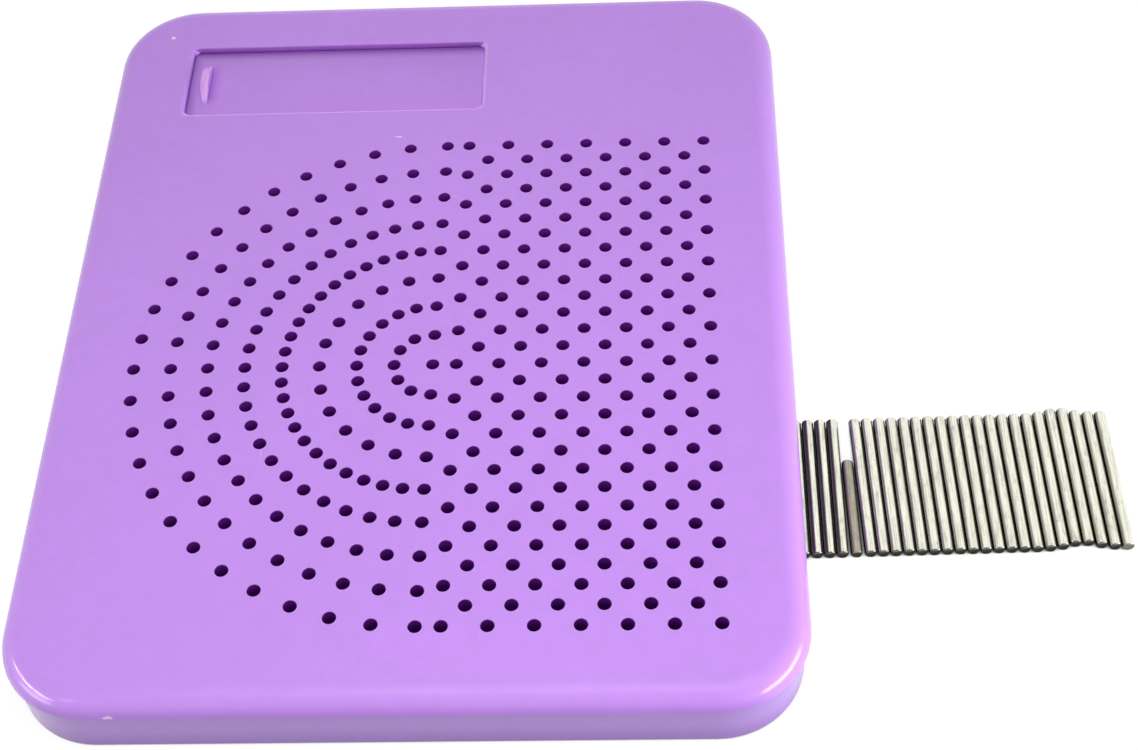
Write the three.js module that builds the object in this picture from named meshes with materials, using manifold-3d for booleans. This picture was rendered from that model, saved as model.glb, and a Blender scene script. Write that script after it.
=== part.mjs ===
// A quilling board: a perforated pin board made of two moulded shells, with a storage
// compartment under a sliding lid and a row of loose steel pins lying beside it.
// Millimetres, +Z up. The origin is the centre of the board's underside, +Y points to
// the back of the board, where the lid is.

import * as THREE from 'three';
import { mergeVertices } from 'three/addons/utils/BufferGeometryUtils.js';
import Module from 'manifold-3d';

const wasm = await Module();
wasm.setup();

// Board outline and its rounded top edge
const boardWidth = 121.5;
const boardLength = 150;
const boardHeight = 12.9;
const cornerRadius = 14.3;
const cornerSteps = 6;
const leastRadius = 0.5; // of the corners of an outline that is drawn in
const edgeRun = 4.2; // how far the rounded edge reaches in over the top face
const edgeDrop = 4.6; // height of the quarter ellipse that the edge follows
const rimDrop = 3.4; // from the top face down to the cover's rim
const edgeSteps = 6;
const hollowSteps = 3; // the same edge on the inside, which doesn't show

// Cover and tray walls
const plateThickness = 2;
const skirtThickness = 2.2;
const trayInset = 0.8; // the tray's wall stands back this far from the board's outline
const trayWall = 2;
const floorThickness = 2;
const footChamfer = 0.5;
const partGap = 0.3; // between two moulded parts that meet

// Tongue on the tray's wall that the cover's rim drops over
const tongueThickness = 0.9;
const tongueHeight = 1.1;

// Pins
const pinDiameter = 1.98;
const pinLength = 25.8;
const shortPinDiameter = 1.88;
const shortPinLength = 17.7;
const pinChamfer = 0.2;
const pinSides = 8;
const pinSpace = 0.02; // between pins that lie side by side
const straightPins = 4; // lie along the board's wall, before the short one
const turnedPins = 21; // lie past the short one, turned a little
const turnAngle = THREE.MathUtils.degToRad(1.7);
const pinRowFront = 32; // from the board's front edge to the first pin's near end
const pinRowDrift = 0.035; // each next pin lies this much further back
const humpHeight = 0.95; // a few pins near the end are pushed back
const humpPin = 21.6;
const humpSpread = 1.5;

// Sockets that the pins stand in
const socketPlay = 0.17; // socket diameter over pin diameter
const socketSides = 7;
const socketFloor = 1.2;
const bedMargin = 2; // bed around the outer sockets

// Socket pattern: semicircles on the left, a staggered grid on the right
const frontMargin = 13.18; // board edge to the first row
const leftMargin = 13.55; // board edge to the outer semicircle
const rightMargin = 13.4; // board edge to the last column
const windowMargin = 9.7; // last row to the lid's window
const ringPitch = 6.125;
const rowPitch = 7;
const columnPitch = 6.91;
const firstRingSteps = 6; // steps around the inner semicircle, doubled with the radius
const mostRingSteps = 24;
const gridStart = 4.05; // centre of the semicircles to the first column
const endShift = 0.19; // the sockets that close the semicircles stand on a column of their own

// Window in the cover, over the storage compartment
const windowLength = 54.1; // along X
const windowDepth = 16.65; // along Y
const windowLeft = 14.13; // board edge to window
const windowBack = 12.42;
const windowCorner = 1.2;
const lipThickness = 0.95; // cover's thickness over the lid
const lipRound = 0.9;
const lipSteps = 3;

// Sliding lid
const lidThickness = 1.5;
const lidOverlap = 1.5; // under the window's lip, all round
const lidSpace = 0.25; // above, below and beside the lid
const lidCorner = 1.5;
const trackEnd = 6.4; // board edge to the end of the lid's track
const finLength = 10.2;
const finHeight = 2.05;
const finThickness = 1.5;
const finBow = 0.45; // how far the fin's left side bows out
const finPlace = 2.15; // window's left wall to the fin

// Compartment walls and the rails that carry the lid
const railThickness = 1.6;

// Screws from underneath
const screwSide = 20; // board edge to screw, along X
const screwEnd = 5.8; // board edge to screw, along Y
const headDiameter = 4.6;
const headHeight = 1.4;
const shankDiameter = 2.2;
const shankLength = 8;
const tipLength = 1.2;
const headRound = 0.5; // chamfer around the head
const seatGap = 0.1; // between the head and its seat
const driveWidth = 2.6;
const driveSlot = 0.6;
const driveDepth = 0.7;
const screwSpace = 0.3; // around the head and the shank
const headRecess = 1.8;
const seatThickness = 1.6; // floor left under the head
const padWall = 1.7; // tray's pad around the head recess
const bossWall = 1.2;
const smallSides = 7; // flats around a screw and its pilot hole
const roundSides = 12;

const overcut = 1; // cutters reach this far past what they cut

// Levels
const rimLevel = boardHeight - rimDrop;
const trayTop = rimLevel - partGap;
const padTop = headRecess + seatThickness;
const bedBottom = padTop + partGap;
const socketBottom = bedBottom + socketFloor;
const lidTop = boardHeight - lipThickness - lidSpace;
const lidBottom = lidTop - lidThickness;
const railTop = lidBottom - lidSpace;

// Window, lid and track
const windowX = [-boardWidth / 2 + windowLeft, -boardWidth / 2 + windowLeft + windowLength];
const windowY = [boardLength / 2 - windowBack - windowDepth, boardLength / 2 - windowBack];
const lidX = [windowX[0] - lidOverlap, windowX[1] + lidOverlap];
const lidY = [windowY[0] - lidOverlap, windowY[1] + lidOverlap];
const trackX = [lidX[0] - lidSpace, boardWidth / 2 - trackEnd];
const trackY = [lidY[0] - lidSpace, lidY[1] + lidSpace];

// Socket field
const fieldFront = -boardLength / 2 + frontMargin;
const fieldBack = windowY[0] - windowMargin;
const fieldY = (fieldFront + fieldBack) / 2;
const rowCount = Math.floor((fieldBack - fieldFront) / rowPitch) + 1;
const ringCount = Math.floor((fieldBack - fieldFront) / 2 / ringPitch);
const ringX = -boardWidth / 2 + leftMargin + ringCount * ringPitch;
const gridX = ringX + gridStart;
const columnCount = Math.floor((boardWidth / 2 - rightMargin - gridX) / columnPitch) + 1;
const socketRadius = (pinDiameter + socketPlay) / 2;

const purple = new THREE.MeshStandardMaterial({ color: 0xb987e4, roughness: 0.35, metalness: 0 });
const lilac = new THREE.MeshStandardMaterial({ color: 0xb283de, roughness: 0.4, metalness: 0 });
const steel = new THREE.MeshStandardMaterial({ color: 0xb9b6a8, roughness: 0.3, metalness: 1 });
const dullSteel = new THREE.MeshStandardMaterial({ color: 0xa39a86, roughness: 0.5, metalness: 1 });

// From three.js geometry to a solid that can be joined and cut, and back

function solid(geometry) {
  const bare = new THREE.BufferGeometry();
  bare.setAttribute('position', geometry.getAttribute('position'));
  bare.setIndex(geometry.getIndex());
  const merged = mergeVertices(bare, 1e-4);
  return new wasm.Manifold(new wasm.Mesh({
    numProp: 3,
    vertProperties: new Float32Array(merged.getAttribute('position').array),
    triVerts: new Uint32Array(merged.getIndex().array),
  }));
}

function geometryOf(body) {
  const mesh = body.getMesh();
  const geometry = new THREE.BufferGeometry();
  geometry.setAttribute('position', new THREE.BufferAttribute(mesh.vertProperties, 3));
  geometry.setIndex(new THREE.BufferAttribute(mesh.triVerts, 1));
  const flat = geometry.toNonIndexed();
  flat.computeVertexNormals();
  return flat;
}

// Closed skin over rings of equally many points, each ring at its own level
function loft(rings) {
  const count = rings[0].points.length;
  const positions = rings.flatMap((ring) => ring.points.flatMap((p) => [p.x, p.y, ring.z]));
  const index = [];
  for (let ring = 0; ring < rings.length - 1; ring++) {
    for (let i = 0; i < count; i++) {
      const low = ring * count;
      const next = (i + 1) % count;
      index.push(low + i, low + next, low + count + next);
      index.push(low + i, low + count + next, low + count + i);
    }
  }
  const top = (rings.length - 1) * count;
  for (const [a, b, c] of THREE.ShapeUtils.triangulateShape(rings[0].points, [])) {
    index.push(c, b, a);
  }
  for (const [a, b, c] of THREE.ShapeUtils.triangulateShape(rings.at(-1).points, [])) {
    index.push(top + a, top + b, top + c);
  }
  const geometry = new THREE.BufferGeometry();
  geometry.setAttribute('position', new THREE.Float32BufferAttribute(positions, 3));
  geometry.setIndex(index);
  return geometry;
}

// Rounded rectangle between two corners, anticlockwise
function roundedRectangle([x0, x1], [y0, y1], radius, steps) {
  const points = [];
  const corners = [[x1, y1], [x0, y1], [x0, y0], [x1, y0]];
  corners.forEach(([x, y], quarter) => {
    const centreX = x - Math.sign(x - (x0 + x1) / 2) * radius;
    const centreY = y - Math.sign(y - (y0 + y1) / 2) * radius;
    for (let step = 0; step <= steps; step++) {
      const angle = (quarter + step / steps) * Math.PI / 2;
      points.push(new THREE.Vector2(
        centreX + radius * Math.cos(angle),
        centreY + radius * Math.sin(angle),
      ));
    }
  });
  return points;
}

// The board's outline, drawn in by an inset
function outline(inset) {
  const halfWidth = boardWidth / 2 - inset;
  const halfLength = boardLength / 2 - inset;
  const radius = Math.max(cornerRadius - inset, leastRadius);
  return roundedRectangle([-halfWidth, halfWidth], [-halfLength, halfLength], radius, cornerSteps);
}

function block([x0, x1], [y0, y1], [z0, z1]) {
  const geometry = new THREE.BoxGeometry(x1 - x0, y1 - y0, z1 - z0);
  geometry.translate((x0 + x1) / 2, (y0 + y1) / 2, (z0 + z1) / 2);
  return solid(geometry);
}

function upright(shapes, [z0, z1], curveSegments = roundSides) {
  const geometry = new THREE.ExtrudeGeometry(shapes, {
    depth: z1 - z0,
    bevelEnabled: false,
    curveSegments,
  });
  geometry.translate(0, 0, z0);
  return solid(geometry);
}

function polygon(x, y, radius, sides) {
  const points = [];
  for (let side = 0; side < sides; side++) {
    const angle = (side + 0.5) / sides * 2 * Math.PI;
    points.push(new THREE.Vector2(x + radius * Math.cos(angle), y + radius * Math.sin(angle)));
  }
  return new THREE.Shape(points);
}

// Radius of a polygon's corners that gives it the area of a circle
function cornerRadiusOf(radius, sides) {
  return radius * Math.sqrt(2 * Math.PI / (sides * Math.sin(2 * Math.PI / sides)));
}

// Quarter ellipse that both faces of the rounded edge follow, from the rim up to the top
function edgeRings(thickness, plate, lowest, steps) {
  const run = edgeRun - thickness;
  const drop = edgeDrop - plate;
  const depth = Math.min(lowest, edgeDrop);
  const lastAngle = Math.acos(Math.min(1, (edgeDrop - depth) / drop));
  const rings = [];
  if (lowest > depth) {
    rings.push({ points: outline(edgeRun - run), z: boardHeight - lowest });
  }
  for (let step = steps; step >= 0; step--) {
    const angle = lastAngle * step / steps;
    rings.push({
      points: outline(edgeRun - run * Math.sin(angle)),
      z: boardHeight - edgeDrop + drop * Math.cos(angle),
    });
  }
  return rings;
}

// Centres of the sockets: closing column, semicircles, grid and its staggered rows
function socketCentres() {
  const centres = [[ringX + endShift, fieldY]];
  for (let ring = 1; ring <= ringCount; ring++) {
    const radius = ring * ringPitch;
    const doublings = Math.floor(Math.log2(ring));
    const steps = Math.min(mostRingSteps, firstRingSteps * 2 ** doublings);
    for (let step = 0; step <= steps; step++) {
      const angle = Math.PI / 2 + Math.PI * step / steps;
      const shift = step % steps === 0 ? endShift : 0;
      centres.push([ringX + shift + radius * Math.cos(angle), fieldY + radius * Math.sin(angle)]);
    }
  }
  const firstRow = fieldY - rowPitch * (rowCount - 1) / 2;
  for (let row = 0; row < rowCount; row++) {
    for (let column = 0; column < columnCount; column++) {
      const x = gridX + column * columnPitch;
      const y = firstRow + row * rowPitch;
      centres.push([x, y]);
      if (row < rowCount - 1 && column < columnCount - 1) {
        centres.push([x + columnPitch / 2, y + rowPitch / 2]);
      }
    }
  }
  return centres;
}

// Solid bed under the plate that guides the pins
function pinBed() {
  const reach = Math.max(ringCount * ringPitch, rowPitch * (rowCount - 1) / 2)
    + socketRadius + bedMargin;
  const right = gridX + (columnCount - 1) * columnPitch + socketRadius + bedMargin;
  const shape = new THREE.Shape();
  shape.moveTo(right, fieldY - reach);
  shape.lineTo(right, fieldY + reach);
  shape.absarc(ringX, fieldY, reach, Math.PI / 2, 3 * Math.PI / 2, false);
  return upright(shape, [bedBottom, boardHeight - plateThickness / 2]);
}

function sockets() {
  const radius = cornerRadiusOf(socketRadius, socketSides);
  const shapes = socketCentres().map(([x, y]) => polygon(x, y, radius, socketSides));
  return upright(shapes, [socketBottom, boardHeight + overcut]);
}

// Window with a rounded upper edge
function windowCutter() {
  const ring = (grow, z) => ({
    points: roundedRectangle(
      [windowX[0] - grow, windowX[1] + grow],
      [windowY[0] - grow, windowY[1] + grow],
      windowCorner + grow,
      lipSteps,
    ),
    z,
  });
  const rings = [ring(0, boardHeight - plateThickness - overcut)];
  for (let step = 0; step <= lipSteps; step++) {
    const angle = Math.PI / 2 * step / lipSteps;
    rings.push(ring(
      lipRound * (1 - Math.cos(angle)),
      boardHeight - lipRound + lipRound * Math.sin(angle),
    ));
  }
  rings.push(ring(lipRound, boardHeight + overcut));
  return solid(loft(rings));
}

function screwPlaces() {
  const x = boardWidth / 2 - screwSide;
  const y = boardLength / 2 - screwEnd;
  return [[-x, -y], [x, -y], [x, y], [-x, y]];
}

function topShell() {
  const pilotRadius = shankDiameter / 2 + screwSpace;
  const edge = edgeRings(0, 0, rimDrop, edgeSteps);
  const envelope = solid(loft([{ points: edge[0].points, z: 0 }, ...edge]));
  let body = solid(loft(edge));
  const hollow = edgeRings(skirtThickness, plateThickness, rimDrop, hollowSteps);
  hollow.unshift({ points: hollow[0].points, z: rimLevel - overcut });
  body = body.subtract(solid(loft(hollow)));

  const rebateInset = trayInset + trayWall - tongueThickness - partGap;
  body = body.subtract(solid(loft([
    { points: outline(rebateInset), z: rimLevel - overcut },
    { points: outline(rebateInset), z: trayTop + tongueHeight + partGap },
  ])));

  body = body.add(pinBed());
  for (const [x, y] of screwPlaces()) {
    const boss = new THREE.Shape();
    boss.absarc(x, y, pilotRadius + bossWall, 0, 2 * Math.PI, false);
    const post = upright(boss, [bedBottom, boardHeight - plateThickness / 2]);
    body = body.add(post.intersect(envelope));
    const pilot = polygon(x, y, pilotRadius, smallSides);
    const pilotTop = headRecess + shankLength + screwSpace;
    body = body.subtract(upright(pilot, [bedBottom - overcut, pilotTop]));
  }
  body = body.subtract(block(trackX, trackY, [railTop, boardHeight - lipThickness]));
  body = body.subtract(windowCutter());
  return body.subtract(sockets());
}

function bottomShell() {
  const inner = trayInset + trayWall;
  let body = solid(loft([
    { points: outline(trayInset + footChamfer), z: 0 },
    { points: outline(trayInset), z: footChamfer },
    { points: outline(trayInset), z: trayTop },
  ]));
  body = body.add(solid(loft([
    { points: outline(inner - tongueThickness), z: floorThickness },
    { points: outline(inner - tongueThickness), z: trayTop + tongueHeight },
  ])));
  body = body.subtract(solid(loft([
    { points: outline(inner), z: floorThickness },
    { points: outline(inner), z: trayTop + tongueHeight + overcut },
  ])));

  const rails = [windowY[0] - railThickness, windowY[1]].map((y) => (
    block([windowX[0] - railThickness, trackX[1]], [y, y + railThickness], [floorThickness / 2, railTop])
  ));
  const ends = [windowX[0] - railThickness, windowX[1]].map((x) => (
    block(
      [x, x + railThickness],
      [windowY[0] - railThickness, windowY[1] + railThickness],
      [floorThickness / 2, railTop],
    )
  ));
  for (const wall of [...rails, ...ends]) {
    body = body.add(wall);
  }

  const headHole = headDiameter / 2 + screwSpace;
  for (const [x, y] of screwPlaces()) {
    const pad = new THREE.Shape();
    pad.absarc(x, y, headHole + padWall, 0, 2 * Math.PI, false);
    body = body.add(upright(pad, [floorThickness / 2, padTop]));
    const head = new THREE.Shape();
    head.absarc(x, y, headHole, 0, 2 * Math.PI, false);
    body = body.subtract(upright(head, [-overcut, headRecess]));
    const shank = polygon(x, y, shankDiameter / 2 + screwSpace, smallSides);
    body = body.subtract(upright(shank, [0, padTop + overcut]));
  }
  return body;
}

// Radius of an arc over a chord, from half the chord and the arc's rise
function arcRadius(half, rise) {
  return (half * half + rise * rise) / (2 * rise);
}

// Fingertip fin: a segment of a disc that stands on its chord, with one side bowed
function fin(x, y) {
  const half = finLength / 2;
  const radius = arcRadius(half, finHeight);
  const reach = Math.asin(half / radius);
  const side = new THREE.Shape();
  side.moveTo(half, -lidThickness / 2);
  side.absarc(0, finHeight - radius, radius, Math.PI / 2 - reach, Math.PI / 2 + reach, false);
  side.lineTo(-half, -lidThickness / 2);
  const slice = new THREE.ExtrudeGeometry(side, {
    depth: finThickness,
    bevelEnabled: false,
    curveSegments: roundSides,
  });
  slice.rotateX(Math.PI / 2);
  slice.rotateZ(Math.PI / 2);
  slice.translate(x, y, lidTop);

  const bow = arcRadius(half, finBow);
  const sweep = Math.asin(half / bow);
  const plan = new THREE.Shape();
  plan.moveTo(x + finThickness, y - half);
  plan.lineTo(x + finThickness, y + half);
  plan.absarc(x + bow, y, bow, Math.PI - sweep, Math.PI + sweep, false);
  return solid(slice).intersect(upright(plan, [lidBottom, lidTop + finHeight + overcut]));
}

function storageLid() {
  const points = roundedRectangle(lidX, lidY, lidCorner, lipSteps);
  const plate = solid(loft([{ points, z: lidBottom }, { points, z: lidTop }]));
  return plate.add(fin(windowX[0] + finPlace, (windowY[0] + windowY[1]) / 2));
}

// Pan head screw with a cross recess, pointing up, its head's underside at level 0
function screw() {
  const radius = headDiameter / 2;
  const profile = [
    [0, -headHeight], [radius - headRound, -headHeight], [radius, -headHeight + headRound], [radius, 0],
    [shankDiameter / 2, 0], [shankDiameter / 2, shankLength - tipLength], [0, shankLength],
  ].map(([r, z]) => new THREE.Vector2(r, z));
  const turned = new THREE.LatheGeometry(profile, smallSides);
  turned.rotateX(Math.PI / 2);
  const across = [-driveWidth / 2, driveWidth / 2];
  const slot = [-driveSlot / 2, driveSlot / 2];
  const depth = [-headHeight - overcut, -headHeight + driveDepth];
  return solid(turned).subtract(block(across, slot, depth)).subtract(block(slot, across, depth));
}

// Pin lying along Y, its near end at the origin and its lowest line at level 0
function pin(diameter, length) {
  const radius = diameter / 2;
  const corner = cornerRadiusOf(radius, pinSides);
  const ring = (r, z) => ({ points: polygon(0, 0, r, pinSides).getPoints(), z });
  const geometry = loft([
    ring(corner - pinChamfer, 0),
    ring(corner, pinChamfer),
    ring(corner, length - pinChamfer),
    ring(corner - pinChamfer, length),
  ]);
  geometry.rotateX(-Math.PI / 2);
  geometry.translate(0, 0, corner * Math.cos(Math.PI / pinSides));
  const flat = geometry.toNonIndexed();
  flat.computeVertexNormals();
  return flat;
}

const board = new THREE.Group();

function place(name, geometry, material) {
  const mesh = new THREE.Mesh(geometry, material);
  mesh.name = name;
  board.add(mesh);
  return mesh;
}

place('top_shell', geometryOf(topShell()), purple);
place('bottom_shell', geometryOf(bottomShell()), purple);
place('storage_lid', geometryOf(storageLid()), lilac);

const screwGeometry = geometryOf(screw());
screwPlaces().forEach(([x, y], i) => {
  place(`screw_${i + 1}`, screwGeometry, steel).position.set(x, y, headRecess - seatGap);
});

// The pins lie side by side: a few against the board's wall, a shorter one,
// and the rest turned a little, so that a wedge of floor shows behind the short one.
const pinStep = pinDiameter + pinSpace;
const firstPinX = boardWidth / 2 - trayInset + pinSpace + pinDiameter / 2;
const nearEnd = (i) => -boardLength / 2 + pinRowFront + i * pinRowDrift
  + humpHeight * Math.exp(-(((i - humpPin) / humpSpread) ** 2));
const pinName = (i) => `pin_${String(i + 1).padStart(2, '0')}`;

for (let i = 0; i < straightPins; i++) {
  place(pinName(i), pin(pinDiameter, pinLength), steel)
    .position.set(firstPinX + i * pinStep, nearEnd(i), 0);
}

const lastStraightX = firstPinX + (straightPins - 1) * pinStep + pinDiameter / 2;
const shortPin = place(pinName(straightPins), pin(shortPinDiameter, shortPinLength), dullSteel);
shortPin.position.set(
  lastStraightX + pinSpace + shortPinDiameter / 2 + shortPinLength * Math.sin(turnAngle / 2),
  nearEnd(straightPins),
  0,
);
shortPin.rotation.z = turnAngle / 2;

// the first turned pin clears the short one's far end
const shortFar = nearEnd(straightPins) + shortPinLength;
const turnedX = lastStraightX + 2 * pinSpace + shortPinDiameter
  + pinDiameter / 2 / Math.cos(turnAngle);
for (let i = 0; i < turnedPins; i++) {
  const order = straightPins + 1 + i;
  const y = nearEnd(order);
  const x = turnedX + i * pinStep / Math.cos(turnAngle) + (shortFar - y) * Math.tan(turnAngle);
  const mesh = place(pinName(order), pin(pinDiameter, pinLength), steel);
  mesh.position.set(x, y, 0);
  mesh.rotation.z = turnAngle;
}

export default board;
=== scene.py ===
import math

import bmesh
import bpy
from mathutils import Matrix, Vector


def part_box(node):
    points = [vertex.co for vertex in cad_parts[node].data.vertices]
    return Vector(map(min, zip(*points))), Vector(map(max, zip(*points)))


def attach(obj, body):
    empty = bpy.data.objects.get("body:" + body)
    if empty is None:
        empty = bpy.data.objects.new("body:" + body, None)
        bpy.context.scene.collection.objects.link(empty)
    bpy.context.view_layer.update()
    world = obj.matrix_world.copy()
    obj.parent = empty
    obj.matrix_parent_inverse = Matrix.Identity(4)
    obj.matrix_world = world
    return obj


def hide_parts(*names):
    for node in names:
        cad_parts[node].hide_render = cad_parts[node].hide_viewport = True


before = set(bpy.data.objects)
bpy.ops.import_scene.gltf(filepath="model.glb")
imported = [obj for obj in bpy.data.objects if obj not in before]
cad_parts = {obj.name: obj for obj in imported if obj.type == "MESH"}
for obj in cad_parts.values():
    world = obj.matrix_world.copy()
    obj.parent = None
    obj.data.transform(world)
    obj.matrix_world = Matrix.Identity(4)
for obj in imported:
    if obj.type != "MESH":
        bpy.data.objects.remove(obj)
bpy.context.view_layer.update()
bpy.ops.object.select_all(action="DESELECT")
print("frame loaded:", len(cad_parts), "nodes")

mm = 0.001
overcut = 1.0  # how far a cutter reaches past what it cuts, in mm


def onlySelect(*items):
    bpy.ops.object.select_all(action="DESELECT")
    for item in items:
        item.select_set(True)
    bpy.context.view_layer.objects.active = items[0]


def applyPlace(item):
    onlySelect(item)
    bpy.ops.object.transform_apply(location=True, rotation=True, scale=True)


def startEditing(item, mode="FACE", everything=False):
    onlySelect(item)
    bpy.ops.object.mode_set(mode="EDIT")
    bpy.ops.mesh.select_mode(type=mode)
    bpy.ops.mesh.select_all(action="SELECT" if everything else "DESELECT")
    return bmesh.from_edit_mesh(item.data)


def stopEditing():
    bpy.ops.object.mode_set(mode="OBJECT")


def pick(item, elements, test):
    for element in elements:
        if test(element):
            element.select_set(True)
    bmesh.update_edit_mesh(item.data)


def extrude(x=0, y=0, z=0):
    bpy.ops.mesh.extrude_region_move(TRANSFORM_OT_translate={"value": (x * mm, y * mm, z * mm)})


# fills what is open and turns all faces outwards
def closeUp(item):
    startEditing(item, "EDGE")
    bpy.ops.mesh.select_non_manifold()
    if item.data.total_edge_sel:
        bpy.ops.mesh.edge_face_add()
    bpy.ops.mesh.select_all(action="SELECT")
    bpy.ops.mesh.normals_make_consistent(inside=False)
    stopEditing()


def useModifier(item, kind, **settings):
    onlySelect(item)
    modifier = item.modifiers.new(kind.lower(), kind)
    for key, value in settings.items():
        setattr(modifier, key, value)
    bpy.ops.object.modifier_apply(modifier=modifier.name)


def combine(target, tool, operation):
    useModifier(target, "BOOLEAN", operation=operation, solver="EXACT", object=tool)
    bpy.data.objects.remove(tool, do_unlink=True)


def joinAll(items):
    onlySelect(*items)
    bpy.ops.object.join()
    return bpy.context.object


def copyOf(item, name, x, y):
    twin = bpy.data.objects.new(name, item.data.copy())
    bpy.context.collection.objects.link(twin)
    twin.location = (x * mm, y * mm, 0)
    return twin


# a flat rounded rectangle, facing up, or down with its z given as the top of what is sunk
def roundedFace(name, xRange, yRange, z, corner, segments, facingDown=False):
    (x0, x1), (y0, y1) = xRange, yRange
    bpy.ops.mesh.primitive_plane_add(
        size=1, location=((x0 + x1) / 2 * mm, (y0 + y1) / 2 * mm, z * mm)
    )
    face = bpy.context.object
    face.name = name
    face.scale = ((x1 - x0) * mm, (y1 - y0) * mm, 1)
    applyPlace(face)
    startEditing(face, "VERT", everything=True)
    if corner:
        bpy.ops.mesh.bevel(offset=corner * mm, segments=segments, affect="VERTICES")
    if facingDown:
        bpy.ops.mesh.select_all(action="SELECT")
        bpy.ops.mesh.flip_normals()
    stopEditing()
    return face


# insets the face from level to level, each level an (inset, z) pair
def buildLevels(item, levels):
    startEditing(item, everything=True)
    for (inset, z), (nextInset, nextZ) in zip(levels, levels[1:]):
        bpy.ops.mesh.inset(thickness=(nextInset - inset) * mm, depth=abs(nextZ - z) * mm)
    stopEditing()
    closeUp(item)


def block(name, xRange, yRange, zRange, corner=0, segments=1):
    item = roundedFace(name, xRange, yRange, zRange[0], corner, segments)
    buildLevels(item, [(0, zRange[0]), (0, zRange[1])])
    return item


def rod(name, x, y, zRange, radius, sides):
    bpy.ops.mesh.primitive_cylinder_add(
        vertices=sides,
        radius=radius * mm,
        depth=(zRange[1] - zRange[0]) * mm,
        location=(x * mm, y * mm, (zRange[0] + zRange[1]) / 2 * mm),
    )
    item = bpy.context.object
    item.name = name
    applyPlace(item)
    return item


# smooth shading that keeps flat faces flat right up to their rounded edges
def shadeWell(item, angle=38):
    onlySelect(item)
    bpy.ops.object.shade_smooth_by_angle(angle=math.radians(angle))
    useModifier(item, "WEIGHTED_NORMAL", mode="FACE_AREA", keep_sharp=True)


# from here on, what the materials are made with
def addNode(tree, kind, settings=None, **inputs):
    node = tree.nodes.new("ShaderNode" + kind)
    for key, value in (settings or {}).items():
        setattr(node, key, value)
    for key, value in inputs.items():
        socket = node.inputs[int(key[1:]) if key[0] == "i" and key[1:].isdigit() else key]
        if isinstance(value, bpy.types.NodeSocket):
            tree.links.new(value, socket)
        else:
            socket.default_value = value
    return node


def math2(tree, operation, a, b=0.0, clamp=False):
    settings = {"operation": operation, "use_clamp": clamp}
    return addNode(tree, "Math", settings, i0=a, i1=b).outputs[0]


def vectorMath(tree, operation, a, b):
    return addNode(tree, "VectorMath", {"operation": operation}, i0=a, i1=b).outputs[0]


def product(tree, first, *others):
    for other in others:
        first = math2(tree, "MULTIPLY", first, other)
    return first


def mixColour(tree, factor, a, b, blend="MIX"):
    node = addNode(tree, "Mix", {"data_type": "RGBA", "blend_type": blend}, i0=factor, i6=a, i7=b)
    return node.outputs[2]


def spread(tree, value, fromLow, fromHigh, toLow=0.0, toHigh=1.0):
    node = addNode(tree, "MapRange", {"interpolation_type": "SMOOTHSTEP"})
    tree.links.new(value, node.inputs[0])
    for index, number in zip(range(1, 5), (fromLow, fromHigh, toLow, toHigh)):
        node.inputs[index].default_value = number
    return node.outputs[0]


# the same with its limits in mm
def fade(tree, value, fromLow, fromHigh, toLow=1.0, toHigh=0.0):
    return spread(tree, value, fromLow * mm, fromHigh * mm, toLow, toHigh)


def between(tree, value, low, high):
    return product(tree, math2(tree, "GREATER_THAN", value, low * mm),
                   math2(tree, "LESS_THAN", value, high * mm))


def objectPlace(tree):
    return addNode(tree, "TexCoord").outputs["Object"]


def coordinates(tree):
    return addNode(tree, "SeparateXYZ", Vector=objectPlace(tree)).outputs


def multiplied(tree, colour, factor, tint):
    return mixColour(tree, factor, colour, mixColour(tree, 1.0, colour, (*tint, 1), "MULTIPLY"))


def scaled(tree, vector, x, y, z):
    node = addNode(tree, "Mapping", Vector=vector)
    node.inputs["Scale"].default_value = (x, y, z)
    return node.outputs[0]


def noise(tree, vector, scale, detail=2.0, roughness=0.5):
    return addNode(
        tree, "TexNoise", Vector=vector, Scale=scale, Detail=detail, Roughness=roughness
    ).outputs["Fac"]


def newGroup(name, inputs, outputs):
    group = bpy.data.node_groups.new(name, "ShaderNodeTree")
    kinds = {"colour": "NodeSocketColor", "value": "NodeSocketFloat", "vector": "NodeSocketVector"}
    for label, kind in inputs:
        group.interface.new_socket(name=label, in_out="INPUT", socket_type=kinds[kind])
    for label, kind in outputs:
        group.interface.new_socket(name=label, in_out="OUTPUT", socket_type=kinds[kind])
    given = group.nodes.new("NodeGroupInput").outputs
    return group, given, group.nodes.new("NodeGroupOutput").inputs


def placeGroup(tree, group, **inputs):
    node = tree.nodes.new("ShaderNodeGroup")
    node.node_tree = group
    for key, value in inputs.items():
        if isinstance(value, bpy.types.NodeSocket):
            tree.links.new(value, node.inputs[key])
        else:
            node.inputs[key].default_value = value
    return node.outputs


# a colour written as it is seen, from 0 to 255
def colourOf(red, green, blue):
    return tuple(
        (c / 255 / 12.92) if c / 255 <= 0.04045 else ((c / 255 + 0.055) / 1.055) ** 2.4
        for c in (red, green, blue)
    ) + (1.0,)


# the board's outline, shared by the cover and the tray, in mm
board = {"width": 121.5, "length": 150.0, "height": 12.9, "corner": 14.3, "cornerSegments": 20}

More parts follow.
